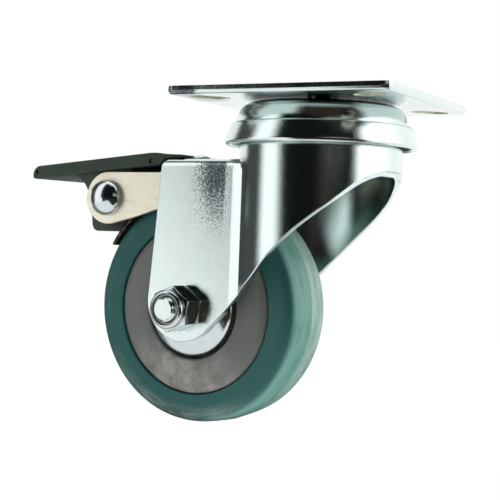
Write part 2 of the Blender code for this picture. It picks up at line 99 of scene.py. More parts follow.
# Dimensions that the frame's boxes don't give
PLATE_SIDE = 72.0
PLATE_CORNER_R = 2.5
PLATE_TURN = math.radians(3.4)
SLOT_CENTRE = 26.0
SLOT_LENGTH = 13.0
SLOT_WIDTH = 6.8
PIN_R = 5.0
PIN_HEAD_R = 8.0
SHEET = 2.3
FORK_HALF = 18.0
FORK_WEB_Z = -20.4
FORK_BEND_R = 3.0
BLEND_R = 20.0  # plan radius of the leg's gentle turn towards the crown
BLEND_X = -22.0  # where that turn starts
BLEND_END = 21.0  # degrees turned when it is well inside the crown
BOLT_R = 4.0
NUT_FLATS = 13.0
BEARING_R = 14.0
BEARING_T = 8.0
CAP_R = 15.5
HUB_RECESS_R = 16.6
GROOVE_IN_R = 15.0  # the narrow groove round the dust cap
GROOVE_FLOOR = 5.0
SLEEVE_R = 6.0
RIVET_R = 3.0
CHEEK_T = 1.8
CHEEK_END_R = 8.6
PEDAL_T = 4.2
PEDAL_SLOPE = math.radians(5.5)
PEDAL_TRAVEL = math.radians(14)
PEDAL_MARKS = ((-101.2, -24.9, 0.75), (-53.7, -21.1, 1.0))  # ejector marks: x, z, radius
MARK_DEPTH = 0.5
SHOE_T = 1.2
SHOE_IN_R = 38.5
SHOE_TRAVEL_MM = 0.5
HINGE_X = -53.5
HINGE_Z = -27.4
WEB_RIVET_X = -37.6
WEB_RIVET_Y = 10.0
SHOE_RIVET_Y = 5.0
RIVET_HOLE_R = 1.9
BALL_PITCH_R = 10.15  # of the wheel's bearings
BEARING_OUT_Y = 10.8  # outer face of a bearing

ROUND = 192  # segments on large round pieces
SMALL = 64  # segments on small round pieces
WELD = 0.012  # points closer than this are one
SMOOTH_BELOW = math.radians(35)
UP = (0, 0, 1)
ALONG_AXLE = (0, 1, 0)


# ---- shapes

def arc(cx, cy, radius, start, end, steps):
    """Points on an arc, angles in degrees."""
    points = []
    for i in range(steps + 1):
        angle = math.radians(start + (end - start) * i / steps)
        points.append((cx + radius * math.cos(angle), cy + radius * math.sin(angle)))
    return points


def spline(points, steps):
    """A smooth curve through the points."""
    out = []
    last = len(points) - 1
    for i in range(last):
        p0 = Vector(points[max(i - 1, 0)])
        p1 = Vector(points[i])
        p2 = Vector(points[i + 1])
        p3 = Vector(points[min(i + 2, last)])
        for s in range(steps):
            t = s / steps
            a = 2 * p1 + (p2 - p0) * t
            b = (2 * p0 - 5 * p1 + 4 * p2 - p3) * t * t
            c = (3 * p1 - p0 - 3 * p2 + p3) * t * t * t
            point = 0.5 * (a + b + c)
            out.append((point.x, point.y))
    out.append(tuple(points[-1]))
    return out


def rounded(corners, radius, steps=4, closed=True):
    """The outline with each corner cut by a small curve."""
    out = []
    count = len(corners)
    for i, corner in enumerate(corners):
        here = Vector(corner)
        if not closed and i in (0, count - 1):
            out.append(tuple(here))
            continue
        before = Vector(corners[i - 1]) - here
        after = Vector(corners[(i + 1) % count]) - here
        cut = min(radius, before.length * 0.45, after.length * 0.45)
        a = here + before.normalized() * cut
        b = here + after.normalized() * cut
        for s in range(steps + 1):
            t = s / steps
            point = a * (1 - t) ** 2 + here * 2 * t * (1 - t) + b * t * t
            out.append((point.x, point.y))
    return out


def revolve(profile, segments, closed=True):
    """Turn a profile of (radius, height) about Z. An open profile starts and ends on the axis."""
    bm = bmesh.new()
    columns = []
    poles = {}
    for s in range(segments):
        angle = 2 * math.pi * s / segments
        column = []
        for i, (r, h) in enumerate(profile):
            if r == 0:
                if i not in poles:
                    poles[i] = bm.verts.new((0, 0, h))
                column.append(poles[i])
            else:
                column.append(bm.verts.new((r * math.cos(angle), r * math.sin(angle), h)))
        columns.append(column)
    count = len(profile)
    for s in range(segments):
        a = columns[s]
        b = columns[(s + 1) % segments]
        for i in range(count if closed else count - 1):
            j = (i + 1) % count
            bm.faces.new(dict.fromkeys((a[i], b[i], b[j], a[j])))
    return bm


def loft(rows):
    """A solid through rows of points that are all as long as the first, with flat ends."""
    bm = bmesh.new()
    rows = [[bm.verts.new(point) for point in row] for row in rows]
    bm.faces.new(rows[0])
    bm.faces.new(rows[-1])
    for a, b in zip(rows, rows[1:]):
        for i in range(len(a)):
            j = (i + 1) % len(a)
            bm.faces.new((a[i], a[j], b[j], b[i]))
    return bm


def stack(levels):
    """A solid through (outline, height) levels."""
    return loft([[(x, y, z) for x, y in outline] for outline, z in levels])


def extrude(outline, bottom, top):
    """A prism along Z from a closed outline."""
    return stack([(outline, bottom), (outline, top)])


def side_prism(outline, half):
    """A prism along Y, both sides of the middle plane, from an outline in (x, z)."""
    bm = extrude(outline, -half, half)
    bm.transform(Matrix.Rotation(math.radians(90), 4, "X"))
    return bm


def across(bm, x=0.0, z=0.0):
    """Lay a piece that was turned about Z along Y, at (x, z): its height h comes to y = -h."""
    bm.transform(Matrix.Translation((x, 0, z)) @ Matrix.Rotation(math.radians(90), 4, "X"))
    return bm


def on_axle(bm):
    return across(bm, *AXLE)


def move(bm, x=0.0, y=0.0, z=0.0):
    bm.transform(Matrix.Translation((x, y, z)))
    return bm


def cylinder(radius, bottom, top, segments=SMALL):
    return revolve([(0, top), (radius, top), (radius, bottom), (0, bottom)], segments, closed=False)


def mesh_object(name, bm):
    """An object from a bmesh in millimetres, with its faces pointing out."""
    bmesh.ops.recalc_face_normals(bm, faces=bm.faces)
    bm.transform(Matrix.Scale(MM, 4))
    mesh = bpy.data.meshes.new(name)
    bm.to_mesh(mesh)
    bm.free()
    obj = bpy.data.objects.new(name, mesh)
    bpy.context.scene.collection.objects.link(obj)
    return obj


def modify(obj, kind, **settings):
    """Replace the object's mesh by the one that a modifier makes of it."""
    modifier = obj.modifiers.new(kind, kind)
    for key, value in settings.items():
        setattr(modifier, key, value)
    graph = bpy.context.evaluated_depsgraph_get()
    made = bpy.data.meshes.new_from_object(obj.evaluated_get(graph))
    old = obj.data
    obj.modifiers.clear()
    obj.data = made
    bpy.data.meshes.remove(old)


def edit(obj, change):
    """Change the object's mesh through a bmesh."""
    bm = bmesh.new()
    bm.from_mesh(obj.data)
    change(bm)
    bm.to_mesh(obj.data)
    bm.free()


def clean(obj, weld=WELD):
    """Weld the doubled points and drop the empty faces that a cut leaves."""
    def change(bm):
        bmesh.ops.remove_doubles(bm, verts=bm.verts, dist=weld * MM)
        bmesh.ops.dissolve_degenerate(bm, edges=bm.edges, dist=weld * MM)
    edit(obj, change)


def carve(obj, operation, bm):
    """Join, cut or intersect the object with a bmesh in millimetres."""
    guide = mesh_object("guide", bm)
    modify(obj, "BOOLEAN", operation=operation, solver="EXACT", object=guide)
    clean(obj)
    bpy.data.meshes.remove(guide.data)


def drill_pair(obj, radius, x, y):
    """Two upright rivet holes, at y and -y."""
    for side in (1, -1):
        carve(obj, "DIFFERENCE", move(cylinder(radius, -32.0, -15.0, 32), x, side * y))


def soften(obj, width, angle=40, segments=3):
    """Round the object's sharp outward edges."""
    def change(bm):
        weight = bm.edges.layers.float.new("bevel_weight_edge")
        for edge in bm.edges:
            if edge.is_manifold and edge.is_convex and edge.calc_face_angle() > math.radians(angle):
                edge[weight] = 1.0
    edit(obj, change)
    modify(obj, "BEVEL", limit_method="WEIGHT", width=width * MM, segments=segments,
           use_clamp_overlap=False, miter_outer="MITER_ARC")


def unite(obj, other):
    """Put the other object's mesh into the object, as it is."""
    edit(obj, lambda bm: bm.from_mesh(other.data))
    bpy.data.objects.remove(other)


def dress(obj, look, body, angle=SMOOTH_BELOW):
    """Give the finished piece NODE.fine its material and body, and hide the CAD node that it stands for."""
    mesh = obj.data
    mesh.materials.clear()
    mesh.materials.append(look[0])
    mesh.shade_smooth()
    if angle:
        mesh.set_sharp_from_angle(angle=angle)
    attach(obj, body)
    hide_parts(obj.name.removesuffix(".fine"))


def turned(node, profile, look, body, segments=ROUND, closed=True, lay=None):
    """A piece that is one turned profile, along Z or, with lay, along Y at that (x, z)."""
    bm = revolve(profile, segments, closed)
    if lay:
        across(bm, *lay)
    dress(mesh_object(f"{node}.fine", bm), look, body)


def true_normals(obj, surfaces, near=0.02, within=35):
    """Shade the faces that lie on the given surfaces with those surfaces' own normals."""
    mesh = obj.data
    corners = len(mesh.loops)
    vertex = np.zeros(corners, int)
    mesh.loops.foreach_get("vertex_index", vertex)
    places = np.zeros(len(mesh.vertices) * 3)
    mesh.vertices.foreach_get("co", places)
    places = places.reshape(-1, 3)[vertex] / MM
    facing = np.zeros((corners, 3))
    for face in mesh.polygons:
        facing[face.loop_start:face.loop_start + face.loop_total] = face.normal
    best = np.full(corners, math.cos(math.radians(within)))
    chosen = np.zeros((corners, 3))
    for surface in surfaces:
        distance, normal = surface(places)
        match = np.einsum("ij,ij->i", normal, facing)
        normal = normal * np.sign(match)[:, None]
        match = np.abs(match)
        take = (np.abs(distance) < near) & (match > best)
        best[take] = match[take]
        chosen[take] = normal[take]
    mesh.shade_smooth()
    mesh.normals_split_custom_set(chosen.tolist())


def plane_surface(facing, place):
    """A plane with that unit normal, at that distance from the origin."""
    def surface(points):
        normal = np.zeros_like(points) + facing
        return np.einsum("ij,ij->i", points, normal) - place, normal
    return surface


def tube_surface(axis, centre, radius):
    """A cylinder along axis 0, 1 or 2 through centre."""
    def surface(points):
        away = points - np.array(centre)
        away[:, axis] = 0.0
        reach = np.linalg.norm(away, axis=1)
        return reach - radius, away / np.maximum(reach, 1e-9)[:, None]
    return surface


def ring_surface(centre, major, minor):
    """A torus about a vertical axis through centre."""
    def surface(points):
        away = points - np.array(centre)
        height = away[:, 2].copy()
        away[:, 2] = 0.0
        reach = np.maximum(np.linalg.norm(away, axis=1), 1e-9)
        normal = away / reach[:, None] * (reach - major)[:, None]
        normal[:, 2] = height
        size = np.maximum(np.linalg.norm(normal, axis=1), 1e-9)
        return size - minor, normal / size[:, None]
    return surface


# ---- materials

def put(tree, kind, values=None, **settings):
    """A node with its settings and inputs. An input is a value or another node's output."""
    made = tree.nodes.new(kind)
    for key, value in settings.items():
        setattr(made, key, value)
    for key, value in (values or {}).items():
        if isinstance(value, bpy.types.NodeSocket):
            tree.links.new(value, made.inputs[key])
        else:
            made.inputs[key].default_value = value
    return made


def place_on_piece(tree):
    """The piece's own coordinates, in metres, which move with it."""
    return put(tree, "ShaderNodeTexCoord").outputs["Object"]


def noise_of(tree, where, scale, detail=2.0, roughness=0.5):
    values = {"Vector": where, "Scale": scale, "Detail": detail, "Roughness": roughness}
    return put(tree, "ShaderNodeTexNoise", values).outputs[0]


def spread(tree, value, low_in, high_in, low_out, high_out):
    values = dict(enumerate((value, low_in, high_in, low_out, high_out)))
    return put(tree, "ShaderNodeMapRange", values).outputs[0]


def vector(tree, *parts):
    return put(tree, "ShaderNodeCombineXYZ", dict(enumerate(parts))).outputs[0]


def maths(tree, operation, a, b=0.0):
    return put(tree, "ShaderNodeMath", {0: a, 1: b}, operation=operation).outputs[0]


def product(tree, value, *others):
    for other in others:
        value = maths(tree, "MULTIPLY", value, other)
    return value


def blend_colours(tree, factor, a, b):
    values = {0: factor}
    for key, colour in ((6, a), (7, b)):
        values[key] = colour if isinstance(colour, bpy.types.NodeSocket) else (*colour, 1.0)
    return put(tree, "ShaderNodeMix", values, data_type="RGBA").outputs[2]


def bump(tree, height, distance, strength=1.0, after=None):
    values = {"Height": height, "Distance": distance, "Strength": strength}
    if after:
        values["Normal"] = after
    return put(tree, "ShaderNodeBump", values).outputs[0]


def start_material(name, metallic, **sockets):
    """A new material and its node tree, with the Principled shader's uniform values set."""
    made = bpy.data.materials.new(name)
    made.use_nodes = True
    sockets["Metallic"] = metallic
    for key, value in sockets.items():
        made.node_tree.nodes["Principled BSDF"].inputs[key.replace("_", " ")].default_value = value
    return made, made.node_tree


def finish_material(made, slot, colour, roughness, normal):
    """Connect what varies over the surface. Returns the look: the material and its slot."""
    shader = made.node_tree.nodes["Principled BSDF"]
    for socket, value in (("Base Color", colour), ("Roughness", roughness), ("Normal", normal)):
        made.node_tree.links.new(value, shader.inputs[socket])
    return made, slot


def clouded(slot, name, metallic, colours, cloud, gloss, grain, **sockets):
    """A material with two clouded colours, an uneven gloss and a fine grain. Each of the last three is
    a noise's scale and detail, then the lowest and highest roughness, or the grain's height and strength."""
    made, tree = start_material(name, metallic, **sockets)
    where = place_on_piece(tree)
    tint = blend_colours(tree, noise_of(tree, where, *cloud), *colours)
    rough = spread(tree, noise_of(tree, where, *gloss[:2]), 0.3, 0.7, *gloss[2:])
    normal = bump(tree, noise_of(tree, where, *grain[:2]), *grain[2:])
    return finish_material(made, slot, tint, rough, normal)


# Painted reflection: the bounds of a dark speckled patch high on the near leg, which stands in for a dark
# reflection
PAINTED_REFLECTION_PATCH = ((0, -0.040, -0.029), (0, -0.0222, -0.0245), (2, -0.052, -0.027), (1, -0.0165, -0.0175))


def bright_zinc():
    """Bright zinc plate: mirror-like, pale blue, with a fine grain that breaks up reflections. High on the
    near leg a painted dark reflection darkens it in a speckled patch, which PAINTED_REFLECTION_PATCH bounds:
    axis, start and end of each ramp."""
    made, tree = start_material("bright zinc plate", 1.0)
    where = place_on_piece(tree)
    cloud = noise_of(tree, where, 70, 3)
    tint = blend_colours(tree, cloud, (0.585, 0.70, 0.69), (0.68, 0.735, 0.72))
    warm = spread(tree, noise_of(tree, where, 130, 2), 0.62, 0.8, 0.0, 0.3)
    tint = blend_colours(tree, warm, tint, (0.72, 0.69, 0.63))
    grain = noise_of(tree, where, 2100, 3, 0.85)
    parts = put(tree, "ShaderNodeSeparateXYZ", {0: where}).outputs
    # Painted reflection: a few grain specks everywhere, and many in a speckled dark patch high on the near
    # leg that stands in for a dark reflection
    painted_reflection = 1.0
    for axis, start, end in PAINTED_REFLECTION_PATCH:
        painted_reflection = product(tree, painted_reflection, spread(tree, parts[axis], start, end, 0.0, 1.0))
    specks_and_painted_reflection = maths(tree, "ADD", grain, product(tree, painted_reflection, 0.37))
    specks_and_painted_reflection = spread(tree, specks_and_painted_reflection, 0.66, 0.80, 0.0, 0.95)
    tint = blend_colours(tree, specks_and_painted_reflection, tint, (0.06, 0.075, 0.08))
    rough = spread(tree, noise_of(tree, where, 900, 3, 0.7), 0.3, 0.75, 0.06, 0.18)
    waves = bump(tree, noise_of(tree, where, 60, 1), 0.00008, 0.35)
    normal = bump(tree, grain, 0.00006, 0.45, waves)
    return finish_material(made, "bright_zinc", tint, rough, normal)


def sheared_zinc():
    """The zinc in the punched slots: rough from the punch, and tinted yellow as a painted warm reflection.
    """
    made, tree = start_material("sheared zinc plate", 0.35)
    where = place_on_piece(tree)
    stretched = put(tree, "ShaderNodeMapping", {"Vector": where, "Scale": (1.0, 1.0, 0.15)}).outputs[0]
    marks = noise_of(tree, stretched, 1500, 3, 0.6)
    # Painted reflection: both colours are yellow to stand in for a warm reflection in the slot walls
    tint = blend_colours(tree, marks, (0.62, 0.68, 0.52), (0.92, 0.95, 0.84))
    rough = spread(tree, marks, 0.3, 0.7, 0.4, 0.6)
    normal = bump(tree, marks, 0.00004, 0.5)
    return finish_material(made, "sheared_zinc", tint, rough, normal)


def bright_chrome():
    """Polished plating on the small turned pieces, with faint drawing marks."""
    return clouded("bright_chrome", "bright plating", 1.0, ((0.50, 0.56, 0.58), (0.62, 0.66, 0.67)),
                   (220, 2), (1400, 2, 0.09, 0.2), (1800, 2, 0.00001, 0.4))


def bearing_steel():
    """Ground and oiled steel."""
    return clouded("bearing_steel", "oiled bearing steel", 1.0, ((0.50, 0.50, 0.49), (0.68, 0.68, 0.67)),
                   (300, 3), (900, 3, 0.16, 0.34), (2400, 2, 0.00001, 0.3))


def spring_steel():
    """Blackened spring steel with rubbed spots."""
    made, tree = start_material("blackened spring steel", 0.7)
    where = place_on_piece(tree)
    rubbed = spread(tree, noise_of(tree, where, 260, 4, 0.65), 0.5, 0.75, 0.0, 1.0)
    tint = blend_colours(tree, rubbed, (0.035, 0.037, 0.036), (0.16, 0.15, 0.14))
    rough = spread(tree, rubbed, 0.0, 1.0, 0.42, 0.28)
    normal = bump(tree, noise_of(tree, where, 1500, 3), 0.00002, 0.4)
    return finish_material(made, "spring_steel", tint, rough, normal)


def passivated_steel():
    """Cream passivated plate, satin, with faint drawing streaks along the strip."""
    made, tree = start_material("cream passivated plate", 0.55)
    where = place_on_piece(tree)
    stretched = put(tree, "ShaderNodeMapping", {"Vector": where, "Scale": (0.12, 1.0, 1.0)}).outputs[0]
    streaks = noise_of(tree, stretched, 900, 3, 0.6)
    cloud = noise_of(tree, where, 140, 3)
    tint = blend_colours(tree, cloud, (0.97, 0.92, 0.72), (1.0, 0.975, 0.82))
    tint = blend_colours(tree, spread(tree, streaks, 0.55, 0.8, 0.0, 0.5), tint, (0.70, 0.61, 0.44))
    rough = spread(tree, streaks, 0.3, 0.7, 0.26, 0.42)
    normal = bump(tree, noise_of(tree, where, 2200, 2), 0.00002, 0.3)
    return finish_material(made, "passivated_steel", tint, rough, normal)


def about_axle(tree, where):
    """Radius from the axle, angle about it in radians, and place along it."""
    parts = put(tree, "ShaderNodeSeparateXYZ", {0: where}).outputs
    dx = maths(tree, "SUBTRACT", parts[0], AXLE_X * MM)
    dz = maths(tree, "SUBTRACT", parts[2], AXLE_Z * MM)
    square = maths(tree, "ADD", product(tree, dx, dx), product(tree, dz, dz))
    return maths(tree, "SQRT", square), maths(tree, "ARCTAN2", dz, dx), parts[1]


def green_rubber():
    """Elastic rubber: deep teal, paler where the tread is rubbed and paler still on the tread's far half,
    which is a painted sheen, with a dusty bloom low on the side walls.
    """
    made, tree = start_material("green elastic rubber", 0.0, Specular_IOR_Level=0.35)
    where = place_on_piece(tree)
    radius, angle, y = about_axle(tree, where)
    rings = vector(tree, product(tree, radius, 900.0), product(tree, angle, 5.0), product(tree, y, 500.0))
    streaks = noise_of(tree, rings, 1.0, 3, 0.6)
    cloud = noise_of(tree, where, 90, 3)
    tint = blend_colours(tree, cloud, (0.020, 0.120, 0.110), (0.029, 0.152, 0.137))
    tread = spread(tree, radius, (TYRE_R - 1.5) * MM, (TYRE_R - 0.7) * MM, 0.0, 1.0)
    # The tread is paler from wear, and its far half is painted paler still: a painted sheen where the tread
    # turns away
    painted_sheen_far_half = spread(tree, y, -0.0004, 0.0008, 0.0, 1.0)
    worn_and_painted_sheen = blend_colours(tree, painted_sheen_far_half, (0.19, 0.42, 0.355), (0.36, 0.56, 0.49))
    patches = spread(tree, noise_of(tree, rings, 0.6, 3, 0.6), 0.44, 0.7, 0.0, 0.6)
    worn_and_painted_sheen = blend_colours(tree, patches, worn_and_painted_sheen, (0.07, 0.23, 0.20))
    tint = blend_colours(tree, tread, tint, worn_and_painted_sheen)
    low_side = spread(tree, maths(tree, "SINE", maths(tree, "ADD", angle, 0.25)), -0.6, -1.0, 0.0, 1.0)
    outer = spread(tree, radius, 0.0310, 0.0345, 0.0, 1.0)
    patch = product(tree, low_side, outer, maths(tree, "SUBTRACT", 1.0, tread))
    dust = spread(tree, streaks, 0.38, 0.66, 0.1, 0.75)
    tint = blend_colours(tree, product(tree, patch, dust), tint, (0.36, 0.44, 0.42))
    rough = spread(tree, streaks, 0.3, 0.7, 0.40, 0.58)
    fine = bump(tree, noise_of(tree, where, 1600, 3), 0.00003, 0.3)
    normal = bump(tree, streaks, 0.00005, 0.3, fine)
    return finish_material(made, "green_rubber", tint, rough, normal)


def grey_nylon():
    """Moulded grey polyamide with faint flow marks."""
    made, tree = start_material("grey moulded core", 0.0, Specular_IOR_Level=0.4)
    where = place_on_piece(tree)
    radius, angle, _ = about_axle(tree, where)
    rings = vector(tree, product(tree, radius, 700.0), product(tree, angle, 4.0))
    flow = noise_of(tree, rings, 1.0, 3, 0.6)
    cloud = noise_of(tree, where, 160, 4, 0.6)
    tint = blend_colours(tree, cloud, (0.150, 0.163, 0.150), (0.215, 0.225, 0.208))
    tint = blend_colours(tree, spread(tree, flow, 0.55, 0.8, 0.0, 0.35), tint, (0.26, 0.25, 0.235))
    low = spread(tree, maths(tree, "SINE", maths(tree, "ADD", angle, 0.1)), -0.55, -0.95, 0.0, 1.0)
    scuffs = spread(tree, noise_of(tree, where, 190, 5, 0.62), 0.42, 0.70, 0.1, 0.75)
    tint = blend_colours(tree, product(tree, low, scuffs), tint, (0.55, 0.54, 0.50))
    rough = spread(tree, flow, 0.3, 0.7, 0.36, 0.52)
    normal = bump(tree, noise_of(tree, where, 1300, 3), 0.00002, 0.35)
    return finish_material(made, "grey_nylon", tint, rough, normal)


def olive_moulding():
    """Olive-grey moulded plastic, half gloss, with a fine spark-eroded texture."""
    return clouded("olive_moulding", "olive moulding", 0.0, ((0.036, 0.058, 0.041), (0.054, 0.080, 0.058)),
                   (120, 3), (700, 2, 0.42, 0.56), (2600, 2, 0.00002, 0.35), Specular_IOR_Level=0.3)


def white_nylon():
    """The lock nut's insert."""
    return clouded("white_nylon", "nylon insert", 0.0, ((0.5, 0.5, 0.47), (0.7, 0.7, 0.66)),
                   (500, 2), (900, 2, 0.35, 0.5), (1500, 2, 0.00002, 0.3))


# ---- head

def plate_outline(inset):
    half = PLATE_SIDE / 2 - PLATE_CORNER_R
    radius = PLATE_CORNER_R - inset
    points = []
    for start, sx, sy in ((0, 1, 1), (90, -1, 1), (180, -1, -1), (270, 1, -1)):
        points += arc(sx * half, sy * half, radius, start, start + 90, 10)
    return points


def slot_outline():
    half = (SLOT_LENGTH - SLOT_WIDTH) / 2
    end = arc(half, 0, SLOT_WIDTH / 2, -90, 90, 24)
    return end + [(-x, -y) for x, y in end]


def make_top_plate(zinc):
    edge = [(0.0, 0.0), (0.0, -1.05)]
    edge += [(1.25 - x, y) for x, y in arc(0, -1.05, 1.25, 8, -90, 9)]
    edge = [(inset, max(z * PLATE_T / 2.3, -PLATE_T)) for inset, z in edge]
    bm = stack([(plate_outline(inset), z) for inset, z in edge])
    bm.transform(Matrix.Rotation(PLATE_TURN, 4, "Z"))
    plate = mesh_object("top_plate.fine", bm)
    reach = SLOT_CENTRE * math.sqrt(2)
    for quarter in range(4):
        cut = move(extrude(slot_outline(), -PLATE_T - 1, 1), x=reach)
        cut.transform(Matrix.Rotation(PLATE_TURN + math.radians(45 + 90 * quarter), 4, "Z"))
        carve(plate, "DIFFERENCE", cut)
    low_r = PIN_R + GAP
    wide = PIN_HEAD_R + GAP
    slope = (wide - low_r) / PLATE_T
    sink = [(0, 1), (wide + slope, 1), (low_r - slope, -PLATE_T - 1), (0, -PLATE_T - 1)]
    carve(plate, "DIFFERENCE", revolve(sink, SMALL, closed=False))
    soften(plate, 0.12)
    dress(plate, zinc, "head", None)
    plate.data.materials.append(sheared_zinc()[0])
    square = Matrix.Rotation(-PLATE_TURN, 3, "Z") @ Matrix.Scale(1 / MM, 3)
    for face in plate.data.polygons:
        spot = square @ face.center
        inside = max(abs(spot.x), abs(spot.y)) < PLATE_SIDE / 2 - 1.5
        if inside and spot.xy.length > 2 * PIN_HEAD_R and abs(face.normal.z) < 0.3:
            face.material_index = 1
    turns = [PLATE_TURN + math.radians(90 * k) for k in range(4)]
    sides = [plane_surface((math.cos(turn), math.sin(turn), 0), PLATE_SIDE / 2) for turn in turns]
    true_normals(plate, [plane_surface(UP, 0.0), plane_surface(UP, -PLATE_T)] + sides)


def make_king_pin(steel):
    profile = [(0, 0), (PIN_HEAD_R - 0.3, 0), (PIN_HEAD_R, -0.1), (PIN_R, -PLATE_T), (PIN_R, -19.6)]
    profile += [(7.4, -19.6)] + arc(5.6, -20.4, 2.0, 15, -90, 10)
    profile += [(3.2, PIN_FOOT_Z), (2.4, PIN_FOOT_Z + 0.6), (0, PIN_FOOT_Z + 0.8)]
    turned("king_pin", profile, steel, "head", SMALL, closed=False)


def make_upper_race(zinc):
    """Pressed cup under the plate."""
    top = -PLATE_T - GAP
    outer = spline([(20.6, top), (22.4, top - 0.1), (23.8, top - 0.5), (25.2, top - 1.5),
                    (26.2, top - 3.1), (26.75, top - 4.7), (27.05, top - 6.2), (27.1, -10.0)], 6)
    wall = 1.9
    inner = arc(22.4, top - 4.4, 4.4 - wall, 4, 90, 12)
    profile = [(PIN_R + GAP, top)] + outer + [(CROWN_R - 0.4, -10.0)]
    profile += inner + [(PIN_R + GAP, top - wall)]
    turned("upper_race", profile, zinc, "head")


def make_dust_ring(zinc):
    """Flared ring that is crimped on the cup, with a rolled lower edge and a lip round the crown."""
    wall = 1.0
    top_r = RING_BOTTOM_R - 1.5
    inner_r = 27.4
    hem_r = RING_BOTTOM_R - 2.05
    profile = [(inner_r, RING_TOP_Z)]
    profile += arc(top_r - 0.6, RING_TOP_Z - 0.6, 0.6, 90, 10, 6)
    profile += arc(RING_BOTTOM_R - 1.1, RING_BOTTOM_Z + 1.1, 1.1, 12, -150, 14)
    lip = [(hem_r, 2.3), (CROWN_R + 0.8, 2.3), (CROWN_R + 0.8, 3.1), (RING_BOTTOM_R - 0.6 - wall, 3.1)]
    profile += [(r, RING_BOTTOM_Z + z) for r, z in lip]
    profile += [(top_r - wall, RING_TOP_Z - 1.3), (inner_r, RING_TOP_Z - 1.0)]
    turned("dust_ring", profile, zinc, "head")


def make_lower_race(zinc):
    profile = [(PIN_R + GAP, -17.4), (13.2, -17.4), (14.4, -16.2), (14.4, -14.2), (16.0, -14.2)]
    profile += [(16.0, -16.8), (13.9, -19.3), (PIN_R + GAP, -19.3)]
    turned("lower_race", rounded(profile, 0.6), zinc, "head", SMALL * 2)


def make_ball_row(node, steel, body, count, ball_r, pitch_r, height, lay=None):
    """Balls in a wire cage."""
    bm = revolve([(pitch_r + x, y) for x, y in arc(0, 0, ball_r * 0.3, 0, 345, 12)], SMALL * 2)
    for i in range(count):
        angle = 2 * math.pi * i / count
        place = Matrix.Translation((pitch_r * math.cos(angle), pitch_r * math.sin(angle), 0))
        bmesh.ops.create_uvsphere(bm, u_segments=24, v_segments=14, radius=ball_r, matrix=place)
    move(bm, z=height)
    if lay:
        across(bm, *lay)
    dress(mesh_object(f"{node}.fine", bm), steel, body)


# ---- fork

def fork_side_outline():
    """The fork seen from the side, in (x, z)."""
    points = [(CROWN_R + 2, CROWN_TOP_Z + 2), (CROWN_R + 2, -23.1)]
    points += spline([(25.3, -23.2), (20.8, -26.7), (14.4, -33.1), (2.8, -43.1), (-5.0, -50.6),
                      (-10.6, -56.6), (-17.0, -62.0), (-23.3, -68.7)], 7)
    points += arc(-38.7, -65.6, 13.0, -38, -180, 40)
    points += [(-48.6, -30.6)]
    points += arc(-45.0, FORK_WEB_Z - 3.0, 3.1, 178, 90, 12)
    points += [(-30.0, FORK_WEB_Z + 0.1), (-30.0, CROWN_TOP_Z + 2)]
    return points


def crown_solid(radius, top):
    profile = [(0, top)] + arc(radius - 3.0, top - 3.0, 3.0, 90, 0, 14) + [(radius, -90), (0, -90)]
    return revolve(profile, ROUND, closed=False)


def leg_half(x, depth):
    """Half the width over the legs at x, for the face at that depth in the sheet."""
    radius = BLEND_R + depth
    run = min(max(x - BLEND_X, 0.0), radius * math.sin(math.radians(BLEND_END)))
    return FORK_HALF - depth + radius - math.sqrt(radius ** 2 - run ** 2)


def leg_block(depth, bend):
    """The space inside the legs' face at that depth, with bends along its upper edges."""
    top = FORK_WEB_Z - depth
    rows = []
    for x in [-70.0 - depth] + [BLEND_X + 0.75 * i for i in range(17)] + [-8.0]:
        half = leg_half(x, depth)
        section = [(-half, -95.0), (half, -95.0)]
        section += arc(half - bend, top - bend, bend, 0, 90, 12)
        section += arc(-half + bend, top - bend, bend, 90, 180, 12)
        rows.append([(x, y, z) for y, z in section])
    return loft(rows)


def fork_surfaces():
    cy = FORK_HALF + BLEND_R
    shoulder = CROWN_TOP_Z - 3.0
    surfaces = [tube_surface(2, (0, 0, 0), CROWN_R), tube_surface(2, (0, 0, 0), CROWN_R - SHEET)]
    surfaces += [ring_surface((0, 0, shoulder), CROWN_R - 3.0, 3.0)]
    surfaces += [ring_surface((0, 0, shoulder - SHEET), CROWN_R - SHEET - 3.0, 3.0)]
    for z in (CROWN_TOP_Z, FORK_WEB_Z):
        surfaces += [plane_surface(UP, z), plane_surface(UP, z - SHEET)]
    for side in (1, -1):
        surfaces += [plane_surface(ALONG_AXLE, side * y) for y in (FORK_HALF, FORK_HALF - SHEET)]
        bend = (0, side * (FORK_HALF - FORK_BEND_R), FORK_WEB_Z - FORK_BEND_R)
        surfaces += [tube_surface(0, bend, FORK_BEND_R)]
        surfaces += [tube_surface(2, (BLEND_X, side * cy, 0), BLEND_R + t) for t in (0, SHEET)]
    return surfaces


def make_fork(zinc):
    fork = mesh_object("fork.fine", crown_solid(CROWN_R, CROWN_TOP_Z))
    carve(fork, "UNION", leg_block(0.0, FORK_BEND_R))
    carve(fork, "DIFFERENCE", crown_solid(CROWN_R - SHEET, CROWN_TOP_Z - SHEET))
    carve(fork, "DIFFERENCE", leg_block(SHEET, 0.8))
    carve(fork, "INTERSECT", side_prism(fork_side_outline(), 40.0))
    carve(fork, "DIFFERENCE", cylinder(PIN_R + 1.0, -30.0, 0.0))
    carve(fork, "DIFFERENCE", on_axle(cylinder(BOLT_R + GAP, -30.0, 30.0)))
    drill_pair(fork, RIVET_HOLE_R, WEB_RIVET_X, WEB_RIVET_Y)
    clean(fork, 0.06)
    soften(fork, 0.35)
    dress(fork, zinc, "swivel_fork", None)
    true_normals(fork, fork_surfaces())


# ---- wheel

